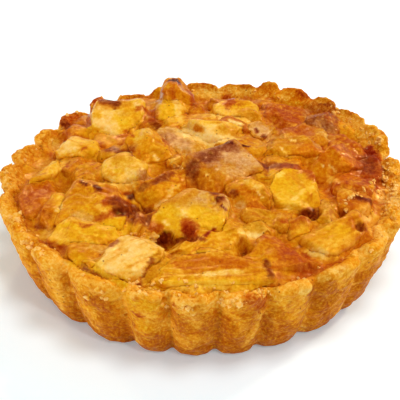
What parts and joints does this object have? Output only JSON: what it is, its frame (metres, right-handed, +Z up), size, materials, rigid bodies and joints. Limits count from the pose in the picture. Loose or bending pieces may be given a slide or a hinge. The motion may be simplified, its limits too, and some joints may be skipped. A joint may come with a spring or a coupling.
{
  "type": "apple tart",
  "caption": "Small round open apple tart: fluted shortcrust case heaped to above its rim with glossy baked apple pieces in caramel filling.",
  "frame": {"origin": "centre of the flat base, which rests on z = 0", "axes": "+Z up, +Y towards the back of the tart as pictured, +X to its right"},
  "size_m": [0.1043, 0.1046, 0.0307],
  "materials": {
    "baked_crust": "matt browned shortcrust",
    "apple_filling": "glossy caramel",
    "baked_apple": "moist and glossy"
  },
  "bodies": {
    "root": {"crust": "baked_crust", "filling": "apple_filling", "apple_piece_01": "baked_apple", "apple_piece_02": "baked_apple", "apple_piece_03": "baked_apple", "apple_piece_04": "baked_apple", "apple_piece_05": "baked_apple", "apple_piece_06": "baked_apple", "apple_piece_07": "baked_apple", "apple_piece_08": "baked_apple", "apple_piece_09": "baked_apple", "apple_piece_10": "baked_apple", "apple_piece_11": "baked_apple", "apple_piece_12": "baked_apple", "apple_piece_13": "baked_apple", "apple_piece_14": "baked_apple", "apple_piece_15": "baked_apple", "apple_piece_16": "baked_apple", "apple_piece_17": "baked_apple", "apple_piece_18": "baked_apple", "apple_piece_19": "baked_apple", "apple_piece_20": "baked_apple", "apple_piece_21": "baked_apple", "apple_piece_22": "baked_apple", "apple_piece_23": "baked_apple", "apple_piece_24": "baked_apple", "apple_piece_25": "baked_apple", "apple_piece_26": "baked_apple", "apple_piece_27": "baked_apple", "apple_piece_28": "baked_apple", "apple_piece_29": "baked_apple", "apple_piece_30": "baked_apple", "apple_piece_31": "baked_apple", "apple_piece_32": "baked_apple", "apple_piece_33": "baked_apple", "apple_piece_34": "baked_apple", "apple_piece_35": "baked_apple", "apple_piece_36": "baked_apple", "apple_piece_37": "baked_apple", "apple_piece_38": "baked_apple", "apple_piece_39": "baked_apple", "apple_piece_40": "baked_apple", "apple_piece_41": "baked_apple", "apple_piece_42": "baked_apple", "apple_piece_43": "baked_apple", "apple_piece_44": "baked_apple", "apple_piece_45": "baked_apple", "apple_piece_46": "baked_apple", "apple_piece_47": "baked_apple", "apple_piece_48": "baked_apple", "apple_piece_49": "baked_apple", "apple_piece_50": "baked_apple", "apple_piece_51": "baked_apple", "apple_piece_52": "baked_apple", "apple_piece_53": "baked_apple", "apple_piece_54": "baked_apple", "apple_piece_55": "baked_apple", "apple_piece_56": "baked_apple", "apple_piece_57": "baked_apple", "apple_piece_58": "baked_apple"}
  },
  "joints": []
}
